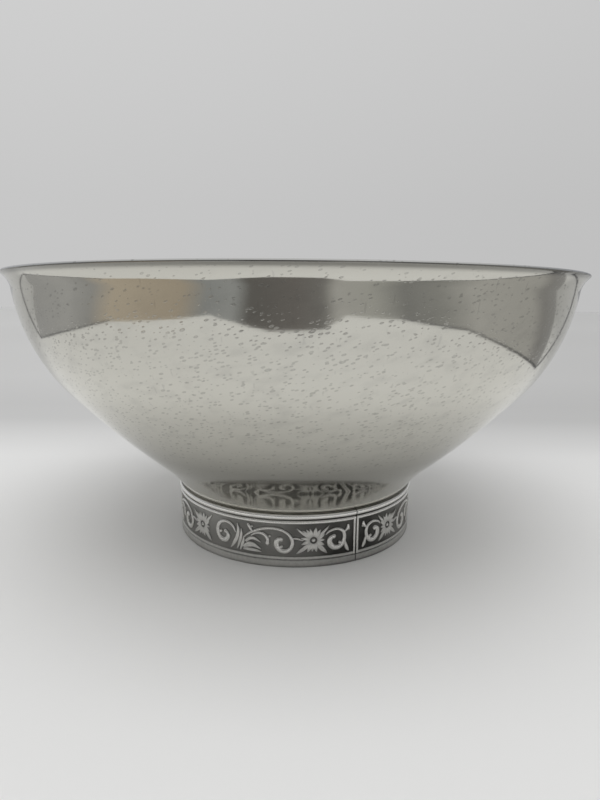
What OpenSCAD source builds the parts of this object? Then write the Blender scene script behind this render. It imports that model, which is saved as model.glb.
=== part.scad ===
// Footed bowl in polished sheet steel, on a plain ring wrapped in a stamped scroll-and-flower band.
// Millimetres. The origin is the centre of the plane that the foot rests on, with +Z up.
// The band's butt joint stands at seam_turn from the front, which faces -Y.

/* [Bowl] */
// Diameter across the lip
mouth_d = 203.2; // [200:0.2:206]
// Thickness of the bowl's sheet
sheet_t = 1.0; // [0.8:0.05:1.2]
// Height of the bowl's flat base above the resting plane
seat_h = 15; // [14.5:0.1:15.5]

/* [Lip] */
// Radius of the bend that turns the lip outward
lip_bend_r = 7; // [6:0.1:8]
// Slope of the lip at its edge, in degrees from level
lip_slope = 40; // [36:1:46]

/* [Foot] */
// Wall of the plain ring that carries the band
core_t = 1.2; // [0.8:0.1:1.6]
// Height by which the plain ring stops short of the resting plane
core_lift = 0.8; // [0.5:0.1:1.5]
// Thickness of the band's strip at the sunk ground of the frieze
strip_t = 0.9; // [0.8:0.05:1]
// How far the raised work stands out from the sunk ground
relief = 0.6; // [0.3:0.1:0.7]

/* [Seam] */
// Turn of the butt joint from the front, toward +X, in degrees
seam_turn = 27.1; // [0:0.1:60]
// Gap between the two ends of the band
seam_gap = 0.35; // [0.2:0.05:0.6]
// Width of the upright bar at each end of the band
end_bar_w = 0.9; // [0.6:0.1:1.4]

/* [Frieze] */
// Number of flowers round the band
flowers = 7; // [5:2:9]
// Turn from the seam to the first flower on each side, in degrees
first_flower = 19.2; // [17:0.1:21]

/* [Hidden] */
FINE = 180;

// The bowl's outer line, upward from the flat base: each stretch is [bend radius, slope at its upper end].
// Slopes are in degrees from level, and the line leaves the base level.
WALL = [[5, 60], [43.5, 40], [304, 47.5], [62, 83.6], [lip_bend_r, lip_slope]];
WALL_STEPS = 11;

function slope_before(i) = i == 0 ? 0 : WALL[i - 1][1];
function bend_sign(i) = WALL[i][1] > slope_before(i) ? 1 : -1;

// Run and rise of stretch i from its lower end to the place where its slope is a
function run_to(i, a) = bend_sign(i) * WALL[i][0] * (sin(a) - sin(slope_before(i)));
function rise_to(i, a) = bend_sign(i) * WALL[i][0] * (cos(slope_before(i)) - cos(a));
function run_sum(i) = i == 0 ? 0 : run_sum(i - 1) + run_to(i - 1, WALL[i - 1][1]);
function rise_sum(i) = i == 0 ? 0 : rise_sum(i - 1) + rise_to(i - 1, WALL[i - 1][1]);

// The lip's edge is a half round as thick as the sheet, so the line ends a little inside the mouth.
lip_end_r = mouth_d / 2 - sheet_t / 2 * (1 - sin(lip_slope));
base_r = lip_end_r - run_sum(len(WALL));

function slope_at(i, k) = slope_before(i) + (WALL[i][1] - slope_before(i)) * k / WALL_STEPS;
function outer_point(i, a) = [base_r + run_sum(i) + run_to(i, a), seat_h + rise_sum(i) + rise_to(i, a)];
function inward(p, a, d) = p + d * [-sin(a), cos(a)];

last = len(WALL) - 1;
outer_line = concat(
    [outer_point(0, 0)],
    [for (i = [0 : last]) for (k = [1 : WALL_STEPS]) outer_point(i, slope_at(i, k))]);
inner_line = concat(
    [inward(outer_point(0, 0), 0, sheet_t)],
    [for (i = [0 : last]) for (k = [1 : WALL_STEPS])
        inward(outer_point(i, slope_at(i, k)), slope_at(i, k), sheet_t)]);
lip_mid = inward(outer_line[len(outer_line) - 1], lip_slope, sheet_t / 2);
lip_turns = [for (k = [1 : 5]) lip_slope - 90 + 30 * k];
lip_round = [for (a = lip_turns) lip_mid + sheet_t / 2 * [cos(a), sin(a)]];

function reversed(v) = [for (i = [len(v) - 1 : -1 : 0]) v[i]];

// Radii of the foot: the bowl's neck, the plain ring round it, the strip's sunk ground and its raised work
neck_r = base_r + run_to(0, WALL[0][1]);
band_in_r = neck_r + 0.2;
core_in_r = band_in_r - core_t;
ground_r = band_in_r + strip_t;
relief_r = ground_r + relief;

// Heights where the foot meets the bowl: the plain ring's top, where the strip's mouth widens, and its top
core_top_h = seat_h + 1.4;
neck_clear_h = seat_h + 2.2;
band_h = seat_h + 3.7;
mouth_out = 0.6;
upper_fill_h = band_h - 0.7;
braze_leg = 3;
lower_fill_leg = 0.8;
lower_fill_drop = 0.5;

// Heights up the band: border, lower frame line, frieze, upper frame line, groove and bead
border_h = 2.8;
border_out = 0.3;
edge_round = 0.3;
frame_low_h = [border_h, border_h + 1.1];
frame_high_h = [band_h - 3.3, band_h - 2.1];
bead_h = [band_h - 1.65, band_h];
bead_out = 0.7;
frieze_mid_h = (frame_low_h[1] + frame_high_h[0]) / 2;

// How deep a raised shape is rooted in the strip
root_d = 0.2;

seam_dir = seam_turn - 90;
seam_angle = seam_gap / ground_r * 180 / PI;
bar_angle = end_bar_w / ground_r * 180 / PI;
flower_pitch = (360 - 2 * first_flower) / (flowers - 1);
end_scroll = 9.3;
scroll_step = 12.4;
leaf_step = flower_pitch / 2;

// Raised shapes are cut from flat stock that starts inside the strip, so that they sit on its curve.
stock_r = band_in_r + 0.3;

// Curls: outer radius, width of the arm, the gap where it opens, and the size of its ends and buds
scroll_r = 3.4;
scroll_w = 1.1;
scroll_gap = 1.2;
scroll_end_r = 1;
scroll_hook_r = 0.8;
bud_size = [2.6, 1.3];

// Flowers: the middle bead, the ring round it, and [length, width] of their long and short petals
bead_r = 0.7;
corolla_r = [1.2, 2.1];
long_petal = [5, 1.7];
short_petal = [3.6, 1.3];
LONG_PETALS = [38, 142, 218, 322];
SHORT_PETALS = [68, 90, 112, 248, 270, 292];

// Sprays between the curls: an arching stem, a lobed leaf, a small hook and upright blades
stem_r = 9;
stem_w = 0.9;
stem_mid = [0.6, -5.2];
lobe = [5.2, 1.8];
lobe_root = [-4.2, -2.6];
LOBES = [-25, 5, 35];
hook_r = [0.8, 1.7];
hook_mid = [3.4, -0.6];
blade = [7.4, 1.3];
blade_step = 1.4;
blade_foot_y = -4;
spray_turn = 3.2;
blades_turn = 5.4;

STEEL = "lightgray";
DARK_STEEL = "dimgray";
SOLDER = "darkgray";

// ---- the bowl

module bowl_shell() {
    color(STEEL)
        rotate_extrude($fn = FINE)
            polygon(concat([[0, seat_h]], outer_line, lip_round, reversed(inner_line),
                           [[0, seat_h + sheet_t]]));
}

// The space that the bowl and its hollow fill, which trims whatever meets the bowl from below
module bowl_envelope() {
    rotate_extrude($fn = FINE)
        polygon(concat([[0, seat_h]], outer_line, [[0, outer_line[len(outer_line) - 1][1]]]));
}

// A ring turned from a section of [radius, height] points, trimmed to meet the bowl
module ring_under_bowl(section) {
    difference() {
        rotate_extrude($fn = FINE)
            polygon(section);
        bowl_envelope();
    }
}

// ---- the foot's plain ring and its joints

module foot_core_ring() {
    color(STEEL)
        ring_under_bowl([[core_in_r, core_lift], [band_in_r, core_lift],
                         [band_in_r, core_top_h], [core_in_r, core_top_h]]);
}

module foot_braze() {
    color(SOLDER)
        ring_under_bowl([[core_in_r, seat_h - 2], [core_in_r, core_top_h], [core_in_r - braze_leg, core_top_h],
                         [core_in_r - braze_leg, seat_h - 0.2]]);
}

// Radius of the strip's inner face at a height above its first turn outward
function mouth_r(h) = band_in_r + (h - neck_clear_h) * mouth_out / (band_h - neck_clear_h);

module band_solder_upper() {
    color(SOLDER)
        ring_under_bowl([[core_in_r, core_top_h], [band_in_r, core_top_h], [band_in_r, neck_clear_h],
                         [mouth_r(upper_fill_h), upper_fill_h], [core_in_r, upper_fill_h]]);
}

module band_solder_lower() {
    color(SOLDER)
        rotate_extrude($fn = FINE)
            polygon([[band_in_r - lower_fill_leg, core_lift], [band_in_r, core_lift - lower_fill_drop],
                     [band_in_r, core_lift]]);
}

module seam_solder() {
    low = edge_round;
    high = bead_h[1] - 0.6;
    face_r = ground_r - 0.15;
    color(DARK_STEEL)
        rotate([0, 0, seam_dir - seam_angle / 2])
            rotate_extrude(angle = seam_angle, $fn = FINE)
                polygon([[band_in_r, low], [face_r, low], [face_r, high], [mouth_r(high), high],
                         [band_in_r, neck_clear_h]]);
}

// ---- the band's section

module strip_section() {
    polygon([[band_in_r, 0], [ground_r + border_out - edge_round, 0], [ground_r + border_out, edge_round],
             [ground_r + border_out, border_h], [ground_r, border_h], [ground_r, band_h],
             [band_in_r + mouth_out, band_h], [band_in_r, neck_clear_h]]);
}

// A half-round rib between two heights, standing out from the ground by out
module rib_section(heights, out) {
    half = (heights[1] - heights[0]) / 2;
    bend = (half * half + out * out) / (2 * out);
    intersection() {
        translate([ground_r + out - bend, heights[0] + half])
            circle(bend, $fn = FINE);
        translate([ground_r - root_d, heights[0]])
            square([out + root_d, 2 * half]);
    }
}

module band_ring() {
    turn = 360 - seam_angle;
    rotate([0, 0, seam_dir + seam_angle / 2])
        rotate_extrude(angle = turn, $fn = FINE)
            union() {
                strip_section();
                rib_section(frame_low_h, relief);
                rib_section(frame_high_h, relief);
                rib_section(bead_h, bead_out);
            }
}

// The upright bar at one end of the band; side is 1 or -1
module end_bar(side) {
    start = side > 0 ? seam_angle / 2 : -seam_angle / 2 - bar_angle;
    foot = frame_low_h[0] + 0.4;
    head = frame_high_h[1] - 0.4;
    rotate([0, 0, seam_dir + start])
        rotate_extrude(angle = bar_angle, $fn = FINE)
            translate([ground_r - root_d, foot])
                square([relief + root_d - 0.1, head - foot]);
}

// ---- the frieze's raised shapes, seen from outside with x to the right and y up

// A pointed leaf along x, from [length, width]: where two circles cross
module leaf(size) {
    bend = (size[0] * size[0] + size[1] * size[1]) / (4 * size[1]);
    intersection_for (side = [1, -1])
        translate([size[0] / 2, side * (bend - size[1] / 2)])
            circle(bend, $fn = FINE);
}

module flat_ring(inner_r, outer_r) {
    difference() {
        circle(outer_r, $fn = FINE);
        circle(inner_r, $fn = FINE);
    }
}

// A clockwise curl with a round end and a small hook inside it
module scroll() {
    difference() {
        flat_ring(scroll_r - scroll_w, scroll_r);
        translate([-scroll_r - scroll_w, 0.3])
            square([2 * scroll_w + 0.2, scroll_gap]);
    }
    translate([scroll_end_r + 0.7 - scroll_r, -0.4])
        circle(scroll_end_r, $fn = FINE);
    translate([0.6, scroll_w + scroll_hook_r - 0.2 - scroll_r])
        circle(scroll_hook_r, $fn = FINE);
}

// A bud on the outside of a curl
module bud(turn) {
    rotate(turn)
        translate([scroll_r - 0.4, 0])
            leaf(bud_size);
}

module petals(turns, start, size) {
    for (turn = turns)
        rotate(turn)
            translate([start, 0])
                leaf(size);
}

module flower() {
    circle(bead_r, $fn = FINE);
    flat_ring(corolla_r[0], corolla_r[1]);
    petals(LONG_PETALS, corolla_r[1] - 0.5, long_petal);
    petals(SHORT_PETALS, corolla_r[1] - 0.7, short_petal);
}

module leaf_spray() {
    difference() {
        translate(stem_mid)
            flat_ring(stem_r - stem_w, stem_r);
        translate([-2 * stem_r, -2 * stem_r])
            square([4 * stem_r, 2 * stem_r]);
    }
    translate(lobe_root)
        petals(LOBES, 0, lobe);
    translate(hook_mid)
        flat_ring(hook_r[0], hook_r[1]);
}

module leaf_blades() {
    for (k = [0 : 2])
        translate([(k - 1) * blade_step, blade_foot_y])
            rotate(100 - 6 * k)
                leaf(blade);
}

// Stands a flat shape on the band; turn is counted from the seam, and side mirrors it across the seam.
module on_band(turn, side) {
    rotate([0, 0, seam_dir - side * turn])
        translate([stock_r, 0, frieze_mid_h])
            rotate([90, 0, 90])
                linear_extrude(height = relief_r - stock_r + 1)
                    mirror([side > 0 ? 0 : 1, 0])
                        children();
}

module frieze_half(side) {
    on_band(end_scroll, side) {
        scroll();
        bud(45);
        bud(-45);
    }
    for (unit = [0 : (flowers - 1) / 2 - 1]) {
        start = first_flower + unit * flower_pitch;
        on_band(start, side)
            flower();
        on_band(start + scroll_step, side)
            scroll();
        on_band(start + leaf_step - spray_turn, side)
            leaf_spray();
        on_band(start + leaf_step + blades_turn, side)
            leaf_blades();
        on_band(start + flower_pitch - scroll_step, side)
            mirror([1, 0])
                scroll();
    }
}

module frieze_band() {
    color(DARK_STEEL)
        union() {
            band_ring();
            end_bar(1);
            end_bar(-1);
            intersection() {
                cylinder(r = relief_r, h = band_h, $fn = FINE);
                union() {
                    frieze_half(1);
                    frieze_half(-1);
                    on_band(180, 1)
                        flower();
                }
            }
        }
}

bowl_shell();
foot_core_ring();
frieze_band();
foot_braze();
band_solder_upper();
band_solder_lower();
seam_solder();
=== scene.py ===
"""Looks for the footed shaving bowl: polished bowl, stamped foot band, its joints, stage, light and camera.

The object's lengths are millimetres until its meshes are made. The stage's lengths are metres.
The front of the object faces -Y, and the band's butt joint stands SEAM_TURN from it toward +X.
"""
import math

import bmesh
import bpy
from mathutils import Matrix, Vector


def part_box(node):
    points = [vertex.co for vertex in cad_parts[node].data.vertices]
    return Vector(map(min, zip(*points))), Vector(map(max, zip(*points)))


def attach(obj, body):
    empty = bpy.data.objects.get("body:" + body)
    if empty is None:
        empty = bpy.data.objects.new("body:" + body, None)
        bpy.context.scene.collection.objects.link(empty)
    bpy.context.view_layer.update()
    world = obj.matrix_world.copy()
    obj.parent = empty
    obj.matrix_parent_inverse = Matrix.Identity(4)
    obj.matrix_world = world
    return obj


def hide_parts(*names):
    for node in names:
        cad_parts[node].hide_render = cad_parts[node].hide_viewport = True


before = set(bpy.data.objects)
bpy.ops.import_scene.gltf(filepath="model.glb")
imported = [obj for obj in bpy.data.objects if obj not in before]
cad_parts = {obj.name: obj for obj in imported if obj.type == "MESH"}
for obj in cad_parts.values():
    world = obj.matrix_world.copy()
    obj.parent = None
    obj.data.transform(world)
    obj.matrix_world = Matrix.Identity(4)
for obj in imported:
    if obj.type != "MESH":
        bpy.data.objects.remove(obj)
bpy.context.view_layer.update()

MM = 0.001

# ---- measures, from the frame


def box_mm(node):
    low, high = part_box(node)
    return [v / MM for v in low], [v / MM for v in high]


BOWL_LOW, BOWL_HIGH = box_mm("bowl_shell")
BAND_HIGH = box_mm("frieze_band")[1]
CORE_HIGH = box_mm("foot_core_ring")[1]

SHEET_T = 1.0
SEAT_H = BOWL_LOW[2]
MOUTH_R = BOWL_HIGH[1]
LIP_SLOPE = 40
# The bowl's outer line, upward from its flat base: (bend radius, slope in degrees at the stretch's end),
# and how many points each stretch gets. The radii and slopes were fitted, then rounded.
WALL = [(5, 60), (43.5, 40), (304, 47.5), (62, 83.6), (7, LIP_SLOPE)]
WALL_ROWS = (10, 24, 28, 36, 14)

BAND_H = BAND_HIGH[2]
BAND_IN_R = CORE_HIGH[0]
STRIP_T = 0.9
GROUND_R = BAND_IN_R + STRIP_T
RELIEF = 0.6
BEAD_OUT = BAND_HIGH[0] - GROUND_R
BORDER_OUT = 0.3
BORDER_ROWS = (1.1, 1.7, 2.3)
BOTTOM_EDGE_R = 0.5
FRAME_LOW = (2.8, 3.9)
FRAME_HIGH = (BAND_H - 3.3, BAND_H - 2.1)
BEAD = (BAND_H - 1.65, BAND_H)
NECK_CLEAR_H = SEAT_H + 2.2
STRIP_MOUTH_OUT = 0.6
FRIEZE_MID = (FRAME_LOW[1] + FRAME_HIGH[0]) / 2
SEAM_TURN = 27.1
SEAM_ANGLE = math.radians(SEAM_TURN - 90)
SEAM_GAP = 0.35
END_BAR_W = 0.9
END_BAR_INSET = 0.3
MAP_R = GROUND_R + RELIEF / 2
# Flowers round the band, and the degrees from the seam to the first one on each side
FLOWERS = 7
FIRST_FLOWER = 19.2
PITCH = (360 - 2 * FIRST_FLOWER) / (FLOWERS - 1)

# ---- mesh helpers


def add_object(name, data):
    obj = bpy.data.objects.new(name, data)
    bpy.context.scene.collection.objects.link(obj)
    return obj


def finish_mesh(name, verts, faces, sharp):
    """An object from millimetres, smooth except where faces meet at more than sharp degrees."""
    mesh = bpy.data.meshes.new(name)
    mesh.from_pydata([tuple(c * MM for c in v) for v in verts], [], faces)
    bm = bmesh.new()
    bm.from_mesh(mesh)
    bmesh.ops.recalc_face_normals(bm, faces=bm.faces)
    bm.to_mesh(mesh)
    bm.free()
    mesh.shade_smooth()
    mesh.set_sharp_from_angle(angle=math.radians(sharp))
    return add_object(name, mesh)


def revolve(outline, turns):
    """Vertices and faces of an outline of (radius, height) points turned round Z.

    A point on the axis becomes a pole.
    """
    verts, faces, rings = [], [], []
    for r, z in outline:
        if r < 1e-6:
            rings.append([len(verts)] * turns)
            verts.append((0, 0, z))
            continue
        rings.append(list(range(len(verts), len(verts) + turns)))
        for k in range(turns):
            a = 2 * math.pi * k / turns
            verts.append((r * math.cos(a), r * math.sin(a), z))
    for low, high in zip(rings, rings[1:]):
        for k in range(turns):
            m = (k + 1) % turns
            quad = [low[k], low[m], high[m], high[k]]
            face = [v for i, v in enumerate(quad) if v not in quad[:i]]
            if len(face) > 2:
                faces.append(face)
    return verts, faces


# ---- the bowl


BOWL_TURNS = 320
FLAT_ROWS = 8
LIP_EDGE_ROWS = 10


def wall_line():
    """(radius, height, slope in degrees) of points along the bowl's outer line, from base to lip edge."""
    line, r, z, before = [(0.0, SEAT_H, 0.0)], 0.0, SEAT_H, 0.0
    for (bend, slope), rows in zip(WALL, WALL_ROWS):
        sign = 1 if slope > before else -1
        for k in range(1, rows + 1):
            a = before + (slope - before) * k / rows
            run = sign * bend * (math.sin(math.radians(a)) - math.sin(math.radians(before)))
            rise = sign * bend * (math.cos(math.radians(before)) - math.cos(math.radians(a)))
            line.append((r + run, z + rise, a))
        r, z, before = line[-1][0], line[-1][1], slope
    lip_end = MOUTH_R - SHEET_T / 2 * (1 - math.sin(math.radians(LIP_SLOPE)))
    base_r = lip_end - r
    return [(r + base_r, z, a) for r, z, a in line]


def inward(point, depth):
    """The (radius, height) that lies depth inside the sheet from a point of wall_line."""
    r, z, a = point
    return r - depth * math.sin(math.radians(a)), z + depth * math.cos(math.radians(a))


def bowl_outline():
    """The sheet's section, from the axis out along the underside, round the lip's edge and back in."""
    line = wall_line()
    base_r = line[0][0]
    flat = [base_r * k / FLAT_ROWS for k in range(FLAT_ROWS)]
    outer = [(r, SEAT_H) for r in flat] + [(r, z) for r, z, a in line]
    mid_r, mid_z = inward(line[-1], SHEET_T / 2)
    turn = [math.radians(LIP_SLOPE - 90 + 180 * k / LIP_EDGE_ROWS) for k in range(1, LIP_EDGE_ROWS)]
    edge = [(mid_r + SHEET_T / 2 * math.cos(t), mid_z + SHEET_T / 2 * math.sin(t)) for t in turn]
    inner = [inward(p, SHEET_T) for p in reversed(line)] + [(r, SEAT_H + SHEET_T) for r in reversed(flat)]
    return outer + edge + inner


def make_bowl():
    bowl = finish_mesh("bowl_polished", *revolve(bowl_outline(), BOWL_TURNS), sharp=60)
    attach(bowl, "root")
    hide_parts("bowl_shell")
    return bowl


# ---- the band's raised work
# It is drawn flat. x runs to the right along the band and y up, both from a flower's centre.
# The paths were drawn, so their numbers are shapes and are not named one by one.


def smooth_path(points, steps):
    """A smooth curve through the points, each given as (x, y, half width, height)."""
    ends = [points[0]] + list(points) + [points[-1]]
    out = []
    for i in range(1, len(ends) - 2):
        a, b, c, d = ends[i - 1:i + 3]
        for k in range(steps):
            t = k / steps
            out.append(tuple(
                0.5 * (2 * q + (r - p) * t + (2 * p - 5 * q + 4 * r - s) * t * t
                       + (3 * q - p - 3 * r + s) * t ** 3)
                for p, q, r, s in zip(a, b, c, d)))
    out.append(tuple(points[-1]))
    return out


class Relief:
    """Closed raised shapes gathered into one mesh, each bent round the band when it is added.

    SINK is how far a shape reaches into the strip, and SECTION the number of steps across a ridge.
    """

    SINK = 0.3
    SECTION = 8

    def __init__(self):
        self.verts, self.faces = [], []
        self.place(0, 1)

    def place(self, offset, side):
        """Shapes drawn next have their x = 0 at offset from the seam, and side -1 mirrors them across it."""
        self.offset, self.side = offset, side

    def vertex(self, x, y, h):
        along = (self.offset + x) * self.side
        a = SEAM_ANGLE + along / MAP_R
        r = GROUND_R + h
        self.verts.append((r * math.cos(a), r * math.sin(a), FRIEZE_MID + y))

    def stroke(self, points, steps=6, crease=0.0):
        """A rounded ridge along a path of (x, y, half width, height), grooved down its middle by crease."""
        path = smooth_path(points, steps)
        count = self.SECTION + 3
        first = len(self.verts)
        for i, (x, y, w, h) in enumerate(path):
            ax, ay = path[max(i - 1, 0)][:2]
            bx, by = path[min(i + 1, len(path) - 1)][:2]
            size = math.hypot(bx - ax, by - ay) or 1
            nx, ny = -(by - ay) / size, (bx - ax) / size
            w = max(w, 0.05)
            self.vertex(x + nx * w, y + ny * w, -self.SINK)
            for k in range(self.SECTION + 1):
                t = math.pi * k / self.SECTION
                lift = h * math.sin(t) ** 0.8 * (1 - crease * math.sin(t) ** 8)
                self.vertex(x + nx * w * math.cos(t), y + ny * w * math.cos(t), lift)
            self.vertex(x - nx * w, y - ny * w, -self.SINK)
        for i in range(len(path) - 1):
            for k in range(count):
                m = (k + 1) % count
                a, b = first + i * count, first + (i + 1) * count
                self.faces.append([a + k, a + m, b + m, b + k])
        self.faces.append([first + k for k in range(count)])
        last = first + (len(path) - 1) * count
        self.faces.append([last + k for k in reversed(range(count))])

    def dome(self, x, y, radius, height, turns=14, rows=5):
        """A round bump centred on (x, y)."""
        first = len(self.verts)
        self.vertex(x, y, height)
        for j in range(1, rows + 1):
            t = math.pi / 2 * j / rows
            for k in range(turns):
                a = 2 * math.pi * k / turns
                out = radius * math.sin(t)
                self.vertex(x + out * math.cos(a), y + out * math.sin(a),
                            height * math.cos(t) if j < rows else -self.SINK)
        for k in range(turns):
            m = (k + 1) % turns
            self.faces.append([first, first + 1 + k, first + 1 + m])
            for j in range(rows - 1):
                a, b = first + 1 + j * turns, first + 1 + (j + 1) * turns
                self.faces.append([a + k, b + k, b + m, a + m])
        self.faces.append([first + 1 + (rows - 1) * turns + k for k in reversed(range(turns))])

    def petal(self, turn, start, length, half_width, height=0.5, sweep=0.0):
        """A pointed leaf that grows outward from the flower's centre, bending by sweep on the way."""
        a, b = math.radians(turn), math.radians(turn + sweep)
        # Share of the length, then shares of the half width and of the height there
        swell = ((0, 0.6, 0.7), (0.25, 1, 1), (0.55, 1.05, 1), (0.8, 0.7, 0.85), (1, 0.2, 0.5))
        points = []
        for t, w, h in swell:
            r = start + (length - start) * t
            c = a + (b - a) * t
            points.append((r * math.cos(c), r * math.sin(c), half_width * w, height * h))
        self.stroke(points, 3, crease=0.35)


# Petals round a flower: (turn, tip's distance, half width, sweep)
PETALS = (
    (36, 7.2, 0.5, 6), (20, 4.4, 0.62, 10), (54, 4.4, 0.58, 4), (76, 4.5, 0.7, 4),
    (104, 4.3, 0.5, 4), (119, 4.6, 0.5, 4), (133, 5.2, 0.5, 4), (148, 7.2, 0.46, -5),
    (168, 4.4, 0.56, 0), (194, 4.3, 0.64, 6), (224, 7.4, 0.72, -5), (244, 4.6, 0.72, 0),
    (264, 4.0, 0.56, 0), (285, 4.3, 0.7, 0), (312, 6.8, 0.8, 2), (336, 4.2, 0.62, -4),
    (0, 3.8, 0.56, 0),
)
PETAL_START = 1.25


def flower(work):
    work.dome(0, 0, 0.72, 0.55)
    for turn, tip, half_width, sweep in PETALS:
        work.petal(turn, PETAL_START, tip, half_width, sweep=sweep)


def end_scroll(work):
    """The curl between the last flower and the end bar, with its two outer buds."""
    work.stroke([(4.2, 1.7, 0.25, 0.35), (5.5, 2.8, 0.44, 0.45), (8.1, 3.4, 0.54, 0.52),
                 (10.3, 2.4, 0.64, 0.54), (11.0, 0.3, 0.72, 0.55), (10.4, -1.9, 0.8, 0.55),
                 (9.0, -3.1, 0.9, 0.55), (7.2, -3.1, 1.0, 0.55), (5.9, -2.0, 1.04, 0.55),
                 (5.6, -0.5, 1.0, 0.55), (6.3, 0.6, 0.84, 0.55), (7.3, 0.8, 0.5, 0.52)])
    work.dome(7.0, 0.8, 0.95, 0.56)
    work.stroke([(9.9, -2.5, 0.4, 0.4), (9.4, -1.7, 0.55, 0.5), (8.7, -1.4, 0.55, 0.5)], 4)
    work.stroke([(10.6, 1.9, 0.3, 0.35), (11.6, 2.5, 0.5, 0.48), (12.3, 3.4, 0.66, 0.52),
                 (12.3, 4.4, 0.35, 0.42)], 4)
    work.dome(12.6, 2.75, 0.48, 0.45)
    work.stroke([(11.1, -0.9, 0.3, 0.35), (11.4, -2.4, 0.55, 0.48), (11.9, -3.9, 0.72, 0.52),
                 (12.6, -5.0, 0.3, 0.4)], 4)


def stem_scroll(work):
    """The long stem that arches over the leaf and curls in beside the flower."""
    work.stroke([(-24.4, -0.6, 0.2, 0.3), (-22.8, 1.0, 0.38, 0.42), (-20.4, 2.5, 0.5, 0.5),
                 (-17.3, 3.7, 0.52, 0.52), (-13.9, 4.1, 0.52, 0.52), (-10.6, 3.5, 0.54, 0.52),
                 (-8.2, 1.9, 0.56, 0.54), (-7.1, -0.5, 0.64, 0.55), (-7.6, -2.6, 0.72, 0.55),
                 (-9.1, -3.8, 0.82, 0.55), (-11.0, -3.6, 0.9, 0.55), (-12.3, -2.3, 0.96, 0.55),
                 (-12.5, -0.8, 0.96, 0.55), (-11.8, 0.3, 0.8, 0.55), (-10.8, 0.4, 0.5, 0.52)])
    work.dome(-11.0, 0.3, 0.9, 0.56)
    work.stroke([(-11.3, -3.2, 0.4, 0.42), (-11.0, -2.3, 0.5, 0.5), (-10.3, -2.1, 0.48, 0.5)], 4)
    work.stroke([(-7.4, 0.7, 0.25, 0.35), (-5.6, 0.7, 0.42, 0.48), (-3.4, 0.0, 0.25, 0.4)], 4)
    work.stroke([(-20.9, 2.3, 0.34, 0.42), (-21.5, 3.2, 0.52, 0.5), (-22.2, 4.3, 0.6, 0.52),
                 (-22.6, 5.0, 0.25, 0.4)], 4)
    work.dome(-21.0, 4.1, 0.45, 0.45)


def leaf_spray(work):
    """The small hook, the lobed leaf and the three blades between two curls."""
    work.stroke([(-21.4, 0.8, 0.25, 0.35), (-19.6, 1.9, 0.45, 0.48), (-17.7, 2.1, 0.56, 0.52),
                 (-16.2, 1.3, 0.62, 0.52), (-15.5, 0.0, 0.62, 0.52), (-15.6, -1.1, 0.6, 0.52)], 5)
    work.dome(-15.6, -1.3, 0.8, 0.54)
    work.dome(-14.8, 1.3, 0.5, 0.44)
    work.stroke([(-23.4, -1.6, 0.5, 0.42), (-21.9, -0.3, 0.62, 0.52), (-20.2, -0.1, 0.56, 0.52),
                 (-17.9, -1.2, 0.15, 0.38)], 5, crease=0.3)
    work.stroke([(-24.2, -3.6, 0.6, 0.42), (-22.2, -2.5, 1.0, 0.54), (-20.3, -2.5, 0.82, 0.54),
                 (-17.8, -3.7, 0.15, 0.38)], 5, crease=0.3)
    work.stroke([(-24.3, -4.3, 0.4, 0.38), (-22.0, -4.2, 0.62, 0.5), (-19.6, -4.3, 0.5, 0.48),
                 (-17.6, -4.6, 0.12, 0.35)], 5, crease=0.3)
    work.stroke([(-26.6, 4.4, 0.12, 0.35), (-26.2, 2.2, 0.55, 0.52), (-26.6, -0.4, 0.74, 0.54),
                 (-27.8, -2.8, 0.66, 0.52), (-29.2, -4.8, 0.2, 0.38)], 5, crease=0.3)
    work.stroke([(-25.1, 2.7, 0.12, 0.35), (-25.0, 0.8, 0.5, 0.5), (-25.5, -1.6, 0.66, 0.52),
                 (-26.6, -4.7, 0.25, 0.38)], 5, crease=0.3)
    work.stroke([(-24.2, 0.2, 0.12, 0.35), (-24.2, -1.4, 0.48, 0.48), (-24.8, -3.2, 0.6, 0.5),
                 (-25.4, -4.9, 0.25, 0.38)], 5, crease=0.3)


def return_scroll(work):
    """The opposite-handed curl that closes the unit before the next flower."""
    work.stroke([(-27.2, 0.9, 0.2, 0.35), (-28.3, 2.9, 0.5, 0.48), (-30.1, 4.0, 0.56, 0.52),
                 (-32.2, 4.0, 0.62, 0.54), (-34.1, 2.8, 0.7, 0.55), (-35.0, 0.8, 0.78, 0.55),
                 (-34.6, -1.3, 0.88, 0.55), (-33.2, -2.6, 0.94, 0.55), (-31.4, -2.6, 0.94, 0.55),
                 (-30.4, -1.3, 0.86, 0.55), (-30.7, 0.1, 0.65, 0.54), (-31.6, 0.6, 0.48, 0.52)])
    work.dome(-31.4, 0.5, 0.82, 0.55)
    work.stroke([(-34.5, 0.1, 0.4, 0.42), (-33.6, -0.1, 0.5, 0.5), (-33.1, 0.6, 0.42, 0.48)], 4)


def raised_work():
    """Two mirrored halves that run outward from the seam and meet in one flower at the back."""
    work = Relief()
    first = -math.radians(FIRST_FLOWER) * MAP_R
    pitch = math.radians(PITCH) * MAP_R
    units = (FLOWERS - 1) // 2
    for side in (1, -1):
        work.place(first, side)
        end_scroll(work)
        for unit in range(units):
            work.place(first - unit * pitch, side)
            flower(work)
            stem_scroll(work)
            leaf_spray(work)
            return_scroll(work)
    work.place(first - units * pitch, 1)
    flower(work)
    return work


# ---- the band's strip


def rib(low, high, out, steps=10):
    """Points up a half-round rib that stands out from the sunk ground between two heights."""
    mid, half = (low + high) / 2, (high - low) / 2
    points = []
    for k in range(-steps // 2, steps // 2 + 1):
        t = math.pi / 2 * k / (steps / 2)
        lift = out * math.cos(t) ** 0.7 if abs(k) < steps / 2 else 0
        points.append((GROUND_R + lift, mid + half * math.sin(t)))
    return points


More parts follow.
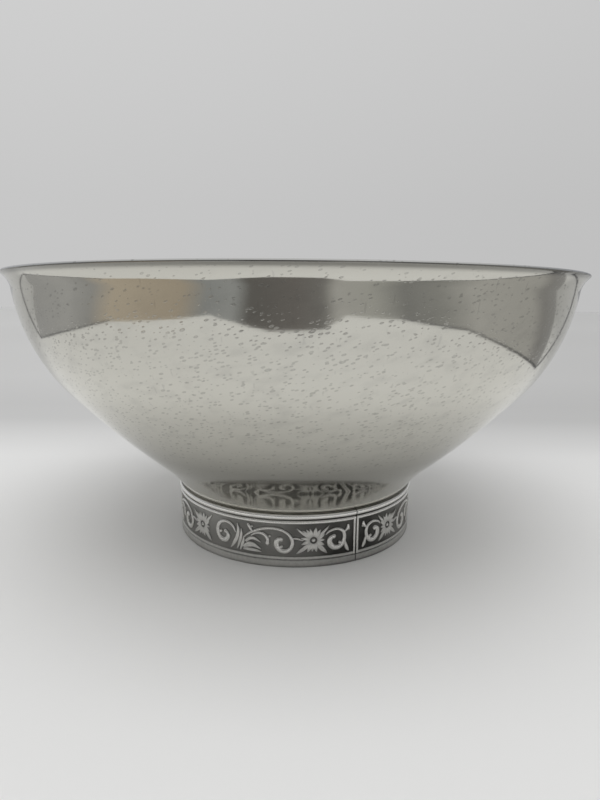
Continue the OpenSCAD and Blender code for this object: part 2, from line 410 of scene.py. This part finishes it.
def band_section():
    """The strip's closed section as (radius, height) points, up the outside and down the inside."""
    edge = BOTTOM_EDGE_R
    foot = [(GROUND_R + BORDER_OUT - edge + edge * math.sin(t), edge - edge * math.cos(t))
            for t in [math.radians(15 * k) for k in range(7)]]
    border = [(GROUND_R + BORDER_OUT, h) for h in BORDER_ROWS]
    frieze = [(GROUND_R, FRAME_LOW[1] + (FRAME_HIGH[0] - FRAME_LOW[1]) * k / 12) for k in range(1, 12)]
    outside = foot + border + rib(*FRAME_LOW, RELIEF * 0.6) + frieze + rib(*FRAME_HIGH, RELIEF)
    outside += rib(*BEAD, BEAD_OUT, 16)
    inside = [(BAND_IN_R + STRIP_MOUTH_OUT, BAND_H)] + [(BAND_IN_R, h) for h in (NECK_CLEAR_H, 9, 0)]
    return outside + inside


def swept_band(turns=420):
    """The strip bent round the foot, open at the seam."""
    section = band_section()
    gap = SEAM_GAP / GROUND_R
    start = SEAM_ANGLE + gap / 2
    verts, faces = [], []
    count = len(section)
    for k in range(turns + 1):
        a = start + (2 * math.pi - gap) * k / turns
        verts += [(r * math.cos(a), r * math.sin(a), z) for r, z in section]
    for k in range(turns):
        for j in range(count):
            m = (j + 1) % count
            a, b = k * count, (k + 1) * count
            faces.append([a + j, b + j, b + m, a + m])
    faces.append(list(reversed(range(count))))
    faces.append([turns * count + j for j in range(count)])
    return verts, faces


def end_bars(work):
    """The upright rib at each end of the strip."""
    low = FRAME_LOW[0] - FRIEZE_MID + END_BAR_INSET
    high = FRAME_HIGH[1] - FRIEZE_MID - END_BAR_INSET
    x = -(SEAM_GAP + END_BAR_W) / 2
    for side in (1, -1):
        work.place(0, side)
        work.stroke([(x, y, END_BAR_W / 2, RELIEF) for y in (low, 0, high)])


def make_band():
    """The strip with its raised work and end bars, as one mesh."""
    verts, faces = swept_band()
    work = raised_work()
    end_bars(work)
    base = len(verts)
    verts += work.verts
    faces += [[base + v for v in face] for face in work.faces]
    band = finish_mesh("band_stamped", verts, faces, sharp=50)
    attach(band, "root")
    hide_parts("frieze_band")
    return band


# ---- materials


class Nodes:
    """A small helper round the node tree of a material or a world, which it empties first."""

    def __init__(self, owner):
        owner.use_nodes = True
        self.tree = owner.node_tree
        self.tree.nodes.clear()

    def link(self, socket, target):
        self.tree.links.new(socket, target)

    def add(self, kind, inputs=None, **settings):
        """A node with its settings, and its inputs each linked to a socket or set to a value."""
        node = self.tree.nodes.new(kind)
        for key, value in settings.items():
            setattr(node, key, value)
        for key, value in (inputs or {}).items():
            if isinstance(value, bpy.types.NodeSocket):
                self.link(value, node.inputs[key])
            else:
                node.inputs[key].default_value = value
        return node

    def math(self, operation, a, b=0.0, c=0.0):
        return self.add("ShaderNodeMath", {0: a, 1: b, 2: c}, operation=operation).outputs[0]

    def vector(self, operation, a, b=(0.0, 0.0, 0.0)):
        return self.add("ShaderNodeVectorMath", {0: a, 1: b}, operation=operation).outputs[0]

    def split(self, vector):
        """The x, y and z sockets of a vector."""
        return self.add("ShaderNodeSeparateXYZ", {0: vector}).outputs

    def place(self):
        """Where the shaded point is, in metres in the object's own axes."""
        return self.add("ShaderNodeTexCoord").outputs["Object"]

    def noise(self, vector, scale, detail):
        return self.add("ShaderNodeTexNoise", {"Vector": vector, "Scale": scale, "Detail": detail}).outputs[0]

    def bump(self, height, strength, distance, below=None):
        """A bumped normal, on top of the one given as below."""
        inputs = {"Height": height, "Strength": strength, "Distance": distance}
        if below is not None:
            inputs["Normal"] = below
        return self.add("ShaderNodeBump", inputs).outputs[0]

    def clamp(self, value):
        return self.add("ShaderNodeClamp", {0: value}).outputs[0]

    def ramp(self, factor, *stops, smooth=False):
        """A colour ramp through (position, grey level or colour) stops."""
        node = self.add("ShaderNodeValToRGB", {0: factor})
        ramp = node.color_ramp
        ramp.interpolation = "EASE" if smooth else "LINEAR"
        while len(ramp.elements) < len(stops):
            ramp.elements.new(0.5)
        for element, (place, level) in zip(ramp.elements, stops):
            element.position = place
            element.color = (*level, 1) if isinstance(level, tuple) else (level, level, level, 1)
        return node.outputs[0]

    def mix(self, factor, a, b):
        """Colour a blended into colour b by factor. Each may be a socket or a value."""
        node = self.add("ShaderNodeMix", data_type="RGBA")
        for socket, value in ((node.inputs[0], factor), (node.inputs[6], a), (node.inputs[7], b)):
            if isinstance(value, bpy.types.NodeSocket):
                self.link(value, socket)
            else:
                socket.default_value = (*value, 1) if isinstance(value, tuple) else value
        return node.outputs[2]


def new_material(name):
    """A material with its node helper and a Principled shader on its output."""
    mat = bpy.data.materials.new(name)
    nodes = Nodes(mat)
    bsdf = nodes.add("ShaderNodeBsdfPrincipled")
    nodes.add("ShaderNodeOutputMaterial", {0: bsdf.outputs[0]})
    return mat, nodes, bsdf


def glowing_material(name, tone=None):
    """A material that only emits, in one tone or in the colour that is linked to its emission later."""
    mat = bpy.data.materials.new(name)
    nodes = Nodes(mat)
    light = nodes.add("ShaderNodeEmission", {"Strength": 1.0})
    if tone:
        light.inputs["Color"].default_value = (*tone, 1)
    nodes.add("ShaderNodeOutputMaterial", {0: light.outputs[0]})
    return mat, nodes, light


def water_spots(nodes, place, scale, share, widest):
    """1 inside small dried drops and 0 outside them.

    scale is cells per metre, share the part of cells with a drop, and widest a drop's radius in cells.
    """
    cells = nodes.add("ShaderNodeTexVoronoi", {"Vector": place, "Scale": scale, "Randomness": 1.0})
    tone = nodes.add("ShaderNodeSeparateColor", {0: cells.outputs["Color"]})
    chosen = nodes.math("LESS_THAN", tone.outputs[0], share)
    radius = nodes.math("MULTIPLY_ADD", tone.outputs[1], widest * 0.7, widest * 0.3)
    inside = nodes.math("DIVIDE", cells.outputs["Distance"], radius)
    body = nodes.ramp(inside, (0.0, 0.45), (0.55, 0.55), (0.8, 1.0), (1.0, 0.0))
    return nodes.math("MULTIPLY", body, chosen)


def polished_steel():
    """Mirror-bright sheet with haze, dried drops, hairline scratches and faint turned lines.

    The outside's colour carries painted shade and light by height: darker on the neck and the upper flank,
    lighter on the belly, and a narrow painted dark band just under the lip. Its ramps go by height in
    decimetres.
    The inside keeps one neutral tone.
    """
    stain = (0.4, 0.395, 0.37)
    dried = (0.3, 0.295, 0.275)
    mat, nodes, bsdf = new_material("polished_steel")
    place = nodes.place()
    x, y, z = nodes.split(place)
    height = nodes.math("MULTIPLY", z, 10.0)
    haze = nodes.noise(place, 11.0, 4.0)

    # Dried drops, drawn out along a slant, thickest on the flank's belt
    slant = nodes.math("MULTIPLY_ADD", x, -0.6, nodes.math("MULTIPLY", z, 2.3))
    squashed = nodes.add("ShaderNodeCombineXYZ", {0: x, 1: y, 2: slant}).outputs[0]
    belt = nodes.ramp(height, (0.36, 0.12), (0.5, 0.8), (0.78, 1.0), (0.93, 0.4))
    fine = water_spots(nodes, squashed, 640.0, nodes.math("MULTIPLY", belt, 0.75), 0.42)
    coarse = water_spots(nodes, squashed, 300.0, nodes.math("MULTIPLY", belt, 0.42), 0.27)
    spots = nodes.math("MAXIMUM", fine, coarse)
    film = nodes.ramp(nodes.noise(squashed, 160.0, 4.0), (0.5, 0.0), (0.72, 1.0))
    film = nodes.math("MULTIPLY", film, belt)
    hairs = nodes.noise(nodes.vector("MULTIPLY", place, (900.0, 900.0, 22.0)), 1.0, 1.0)
    hairs = nodes.ramp(hairs, (0.7, 0.0), (0.76, 1.0))

    # The outside's painted shade and light by height, with a narrow painted dark band under the lip
    level = nodes.ramp(height, (0.2, 1.0), (0.26, 0.95), (0.33, 0.8), (0.38, 0.74), (0.46, 0.96),
                       (0.53, 1.05), (0.63, 1.04), (0.71, 0.93), (0.79, 0.86), (0.92, 0.9))
    edge = nodes.ramp(height, (0.951, 1.0), (0.954, 0.8), (0.957, 0.54), (0.96, 0.42), (0.965, 0.45))
    outside = nodes.mix(haze, (0.68, 0.665, 0.6), (0.76, 0.75, 0.69))
    outside = nodes.vector("MULTIPLY", outside, nodes.math("MULTIPLY", level, edge))
    inside = nodes.mix(haze, (0.74, 0.74, 0.73), (0.8, 0.8, 0.79))

    # Surfaces that face up are the inside's
    facing = nodes.split(nodes.add("ShaderNodeNewGeometry").outputs["True Normal"])[2]
    under = nodes.ramp(nodes.math("MULTIPLY_ADD", facing, -4.0, 0.6), (0.0, 0.0), (1.0, 1.0))
    tone = nodes.mix(under, inside, outside)
    for mask, share, colour in ((film, 0.25, stain), (spots, 0.62, dried), (hairs, 0.3, stain)):
        tone = nodes.mix(nodes.math("MULTIPLY", mask, share), tone, colour)
    nodes.link(tone, bsdf.inputs["Base Color"])

    rough = nodes.math("MULTIPLY_ADD", haze, 0.05, 0.06)
    rough = nodes.math("MULTIPLY_ADD", spots, 0.2, rough)
    nodes.link(rough, bsdf.inputs["Roughness"])
    bsdf.inputs["Metallic"].default_value = 1.0
    turned = nodes.noise(nodes.vector("MULTIPLY", place, (20.0, 20.0, 900.0)), 1.0, 3.0)
    lines = nodes.bump(turned, 0.03, 0.0002)
    nodes.link(nodes.bump(spots, 0.12, 0.0001, below=lines), bsdf.inputs["Normal"])
    return mat


def stamped_steel():
    """Raised work rubbed bright over ground left dark, told apart by how far it stands from the axis."""
    mat, nodes, bsdf = new_material("stamped_steel")
    place = nodes.place()
    x, y, z = nodes.split(place)
    flat = nodes.add("ShaderNodeCombineXYZ", {0: x, 1: y}).outputs[0]
    radius = nodes.add("ShaderNodeVectorMath", {0: flat}, operation="LENGTH").outputs["Value"]
    height = nodes.math("DIVIDE", z, BAND_H * MM)
    grain = nodes.noise(place, 900.0, 3.0)

    # 1 on what a cloth reaches, less toward the table, and 1 again on the strip's hidden side
    lift = nodes.math("DIVIDE", nodes.math("SUBTRACT", radius, GROUND_R * MM), RELIEF * MM)
    lift = nodes.math("ADD", lift, nodes.math("MULTIPLY_ADD", grain, 0.3, -0.15))
    rubbed = nodes.ramp(nodes.clamp(lift), (0.05, 0.0), (0.35, 0.5), (0.75, 1.0))
    # The rubbed share falls toward the bottom of the band and is highest on the bead
    fade_by_height = nodes.ramp(height, (0.0, 0.1), (0.06, 0.7), (FRAME_LOW[0] / BAND_H, 0.75),
                      (FRAME_LOW[1] / BAND_H, 0.85), (FRAME_HIGH[0] / BAND_H, 0.9), (BEAD[0] / BAND_H, 1.0))
    rubbed = nodes.math("MULTIPLY", rubbed, fade_by_height)
    hidden = nodes.math("LESS_THAN", radius, (GROUND_R - 0.2) * MM)
    rubbed = nodes.math("MAXIMUM", rubbed, hidden)

    # The ground is darkest beside the seam and in patches
    patch = nodes.noise(place, 45.0, 2.0)
    turn = nodes.math("ARCTAN2", y, x)
    near = nodes.math("ABSOLUTE", nodes.math("SUBTRACT", turn, SEAM_ANGLE))
    kept = nodes.ramp(near, (0.1, 0.0), (0.75, 1.0), smooth=True)
    kept = nodes.math("ADD", nodes.math("MULTIPLY", kept, 0.7), nodes.math("MULTIPLY_ADD", patch, 1.2, -0.6))
    ground = nodes.mix(nodes.clamp(kept), (0.06, 0.059, 0.055), (0.42, 0.415, 0.395))

    # Painted highlight: the rubbed metal is made lighter on the upper rib and the bead
    bright = nodes.mix(nodes.ramp(height, (0.8, 0.0), (0.9, 1.0)), (0.86, 0.85, 0.82), (0.97, 0.96, 0.93))
    nodes.link(nodes.mix(rubbed, ground, bright), bsdf.inputs["Base Color"])
    nodes.link(nodes.math("MULTIPLY_ADD", rubbed, -0.32, 0.55), bsdf.inputs["Roughness"])
    bsdf.inputs["Metallic"].default_value = 1.0
    nodes.link(nodes.bump(grain, 0.2, 0.0001), bsdf.inputs["Normal"])
    return mat


def plain_metal(name, tone, roughness, grain_scale):
    """Unpolished metal with a fine grain, for the pieces that keep their CAD meshes."""
    mat, nodes, bsdf = new_material(name)
    grain = nodes.noise(nodes.place(), grain_scale, 4.0)
    dark = tuple(c * 0.7 for c in tone)
    nodes.link(nodes.mix(grain, dark, tone), bsdf.inputs["Base Color"])
    nodes.link(nodes.math("MULTIPLY_ADD", grain, 0.2, roughness - 0.1), bsdf.inputs["Roughness"])
    bsdf.inputs["Metallic"].default_value = 1.0
    nodes.link(nodes.bump(grain, 0.3, 0.0001), bsdf.inputs["Normal"])
    return mat


def paint(obj, mat):
    """Every slot of the object gets the material, kept on the object and not on its mesh."""
    if not obj.material_slots:
        obj.data.materials.append(mat)
    for slot in obj.material_slots:
        slot.link = "OBJECT"
        slot.material = mat


# ---- stage, light and camera. Measures here are metres.

FLOOR_HALF = 6.0
# The pale sheet's outline on the table, from its back left corner round the front to its back right corner.
# It was traced back from where the sheet's edge shows in the metal and rounded. The room's grey
# starts at it.
SHEET = [(-0.32, 0.115), (-0.25, -0.135), (-0.12, -0.25), (-0.03, -0.215), (0.03, -0.22), (0.07, -0.265),
         (0.14, -0.23), (0.205, -0.14), (0.22, 0.075)]
SHEET_EDGE = 0.007
SHEET_EDGE_RUNS = ((0, 1), (6, 8))
CORNER_STRIP_H = 0.12
CARD_LIFT = 0.0005
ROOM_REACH = 3.0
# Greys and tans of the room by degrees round the bowl from the front, positive toward +X
ROOM_TONES = (
    (-110, (0.36, 0.36, 0.36)), (-84, (0.42, 0.42, 0.42)), (-72, (0.34, 0.34, 0.34)),
    (-62, (0.5, 0.44, 0.36)), (-36, (0.42, 0.365, 0.295)), (-28, (0.3, 0.31, 0.315)),
    (-19, (0.34, 0.35, 0.355)), (-14, (0.14, 0.135, 0.13)), (0, (0.17, 0.16, 0.155)),
    (8, (0.2, 0.195, 0.19)), (12, (0.44, 0.435, 0.42)), (24, (0.4, 0.4, 0.38)),
    (34, (0.24, 0.24, 0.235)), (46, (0.29, 0.29, 0.28)), (60, (0.45, 0.445, 0.43)),
    (90, (0.4, 0.395, 0.38)), (98, (0.26, 0.255, 0.25)), (112, (0.3, 0.3, 0.3)),
)


def stage_mesh(name, verts, faces, mat):
    mesh = bpy.data.meshes.new(name)
    mesh.from_pydata(verts, [], faces)
    mesh.materials.append(mat)
    obj = add_object(name, mesh)
    return obj


def make_floor():
    """A pale floor with painted shade and light: darkened behind the bowl to the backdrop's tone, lighter
    again farther back, and darker toward the right.
    """
    mat, nodes, bsdf = new_material("pale_floor")
    x, y = nodes.split(nodes.place())[:2]
    # Painted shade and light by distance behind the bowl: darkest where the backdrop's tone is laid on,
    # lighter again farther back
    far = nodes.ramp(nodes.math("MULTIPLY", y, 0.5), (0.045, 0.83), (0.095, 0.62), (0.125, 0.62),
                     (0.21, 0.7), (0.4, 0.78), (0.9, 0.86))
    # Painted shade: the floor darkens toward the right behind the bowl
    way = nodes.math("DIVIDE", x, nodes.math("MAXIMUM", nodes.math("ADD", y, 0.22), 0.3))
    shade = nodes.ramp(nodes.math("ADD", way, 0.5), (0.2, 0.0), (0.8, 1.0))
    shade = nodes.math("MULTIPLY", shade, nodes.ramp(y, (0.0, 0.0), (0.12, 1.0)))
    tone = nodes.mix(nodes.math("MULTIPLY", shade, 0.1), far, (0.1, 0.1, 0.1))
    nodes.link(tone, bsdf.inputs["Base Color"])
    bsdf.inputs["Roughness"].default_value = 0.7
    bsdf.inputs["Specular IOR Level"].default_value = 0.1
    corners = [(FLOOR_HALF * i, FLOOR_HALF * j, 0) for i, j in ((-1, -1), (1, -1), (1, 1), (-1, 1))]
    stage_mesh("floor", corners, [[0, 1, 2, 3]], mat)


def reflected_only(obj):
    obj.visible_camera = False
    obj.visible_diffuse = False
    obj.visible_shadow = False
    obj.visible_transmission = False
    obj.visible_volume_scatter = False


def room_material():
    """Tones that change with the turn round the bowl, as the walls and tables of a room do."""
    mat, nodes, light = glowing_material("card_grey")
    x, y = nodes.split(nodes.place())[:2]
    turn = nodes.math("ARCTAN2", x, nodes.math("MULTIPLY", y, -1.0))
    turn = nodes.math("MULTIPLY_ADD", turn, 0.5 / math.pi, 0.5)
    tone = nodes.ramp(turn, *((0.5 + degrees / 360, level) for degrees, level in ROOM_TONES))
    nodes.link(tone, light.inputs["Color"])
    return mat


def pushed_out(point, reach):
    """The point moved straight away from the bowl's axis until it is reach from it."""
    size = math.hypot(*point)
    return point[0] * reach / size, point[1] * reach / size


def upright(foot, mat):
    """A thin strip that stands at a corner of the sheet, facing the bowl."""
    x, y = foot
    half = SHEET_EDGE / 2 / math.hypot(x, y)
    dx, dy = -y * half, x * half
    verts = [(x - dx, y - dy, 0), (x + dx, y + dy, 0),
             (x + dx, y + dy, CORNER_STRIP_H), (x - dx, y - dy, CORNER_STRIP_H)]
    return stage_mesh("corner_strip", verts, [[0, 1, 2, 3]], mat)


def make_cards():
    """A grey room round the pale sheet that the bowl stands on, seen only in the polished metal."""
    inner = [(x, y, CARD_LIFT) for x, y in SHEET]
    outer = [(*pushed_out(p, ROOM_REACH), CARD_LIFT) for p in SHEET]
    n = len(SHEET)
    faces = [[k, k + 1, n + k + 1, n + k] for k in range(n - 1)]
    reflected_only(stage_mesh("room_card", inner + outer, faces, room_material()))
    dark = glowing_material("card_dark", (0.09, 0.09, 0.095))[0]
    for first, last in SHEET_EDGE_RUNS:
        run = SHEET[first:last + 1]
        outside = [pushed_out(p, math.hypot(*p) + SHEET_EDGE) for p in reversed(run)]
        verts = [(x, y, 2 * CARD_LIFT) for x, y in run + outside]
        reflected_only(stage_mesh(f"sheet_edge_{first}", verts, [list(range(len(verts)))], dark))
    for corner in (SHEET[0], SHEET[-1]):
        reflected_only(upright(corner, dark))


def make_world():
    """Different tones for three kinds of ray, told apart by the Light Path node.

    The camera sees a plain pale backdrop. The metal reflects a pale wall behind the bowl, a dim room on the
    camera's side and a pale ceiling. Diffuse light is one even grey.
    """
    world = bpy.data.worlds.new("studio")
    bpy.context.scene.world = world
    nodes = Nodes(world)
    way = nodes.split(nodes.add("ShaderNodeTexCoord").outputs["Generated"])
    east, north, up = [nodes.math("MULTIPLY_ADD", part, 0.5, 0.5) for part in way]
    seen = nodes.ramp(up, (0.5, 0.56), (0.58, 0.57), (0.8, 0.66))
    shaded = nodes.mix(0.08, seen, (0.1, 0.1, 0.1))
    seen = nodes.mix(nodes.ramp(east, (0.3, 0.0), (0.7, 1.0)), seen, shaded)
    wall = nodes.ramp(east, (0.1, (0.44, 0.445, 0.46)), (0.3, (0.46, 0.465, 0.475)),
                      (0.5, (0.62, 0.62, 0.61)), (0.66, (0.34, 0.345, 0.355)), (0.9, (0.3, 0.305, 0.315)))
    behind = nodes.ramp(north, (0.3, 0.0), (0.75, 1.0), smooth=True)
    mirrored = nodes.mix(behind, (0.16, 0.16, 0.16), wall)
    mirrored = nodes.mix(nodes.ramp(up, (0.68, 0.0), (0.86, 1.0)), mirrored, (0.58, 0.58, 0.575))
    paths = nodes.add("ShaderNodeLightPath")
    light = nodes.mix(paths.outputs["Is Diffuse Ray"], mirrored, (0.66, 0.66, 0.655))
    light = nodes.mix(paths.outputs["Is Camera Ray"], light, seen)
    sky = nodes.add("ShaderNodeBackground", {"Color": light, "Strength": 1.0})
    nodes.add("ShaderNodeOutputWorld", {0: sky.outputs[0]})


LAMP_AT = (-0.02, -0.25, 0.9)
LAMP_SIDE = 0.7
LAMP_POWER = 3.1


def make_lamp():
    """A soft lamp over the front of the bowl, aimed at its foot and left out of reflections."""
    data = bpy.data.lights.new("overhead", "AREA")
    data.shape = "SQUARE"
    data.size = LAMP_SIDE
    data.energy = LAMP_POWER
    lamp = add_object("overhead", data)
    lamp.location = LAMP_AT
    lamp.rotation_euler = (-Vector(LAMP_AT)).to_track_quat("-Z", "Y").to_euler()
    lamp.visible_glossy = False


# The camera was fitted to the rim's and the foot's circles. Its distance from the bowl's axis and its drop
# below the rim are shares of the mouth's radius, and its angles are degrees.
LENS = 24.75
SENSOR = 36
CAMERA_DISTANCE = 2.149
CAMERA_BELOW_RIM = 0.0872
PITCH_DOWN = 10.13
YAW = 0.46
ROLL = 0.48


def make_camera():
    data = bpy.data.cameras.new("camera")
    data.lens = LENS
    data.sensor_width = SENSOR
    data.clip_start = 0.01
    camera = add_object("camera", data)
    mouth = MOUTH_R * MM
    camera.location = (0, -CAMERA_DISTANCE * mouth, BOWL_HIGH[2] * MM - CAMERA_BELOW_RIM * mouth)
    camera.rotation_euler = (math.pi / 2 - math.radians(PITCH_DOWN), 0, -math.radians(YAW))
    camera.rotation_euler.rotate_axis("Z", math.radians(ROLL))
    bpy.context.scene.camera = camera


make_camera()
make_world()
make_floor()
make_cards()
make_lamp()
bpy.context.scene.view_settings.view_transform = "Standard"

paint(make_bowl(), polished_steel())
paint(make_band(), stamped_steel())
solder = plain_metal("solder", (0.42, 0.42, 0.41), 0.5, 500.0)
for name in ("foot_braze", "band_solder_upper", "band_solder_lower"):
    paint(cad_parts[name], solder)
paint(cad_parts["foot_core_ring"], plain_metal("satin_ring", (0.5, 0.5, 0.48), 0.35, 300.0))
paint(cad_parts["seam_solder"], plain_metal("seam_dark", (0.12, 0.118, 0.11), 0.6, 600.0))
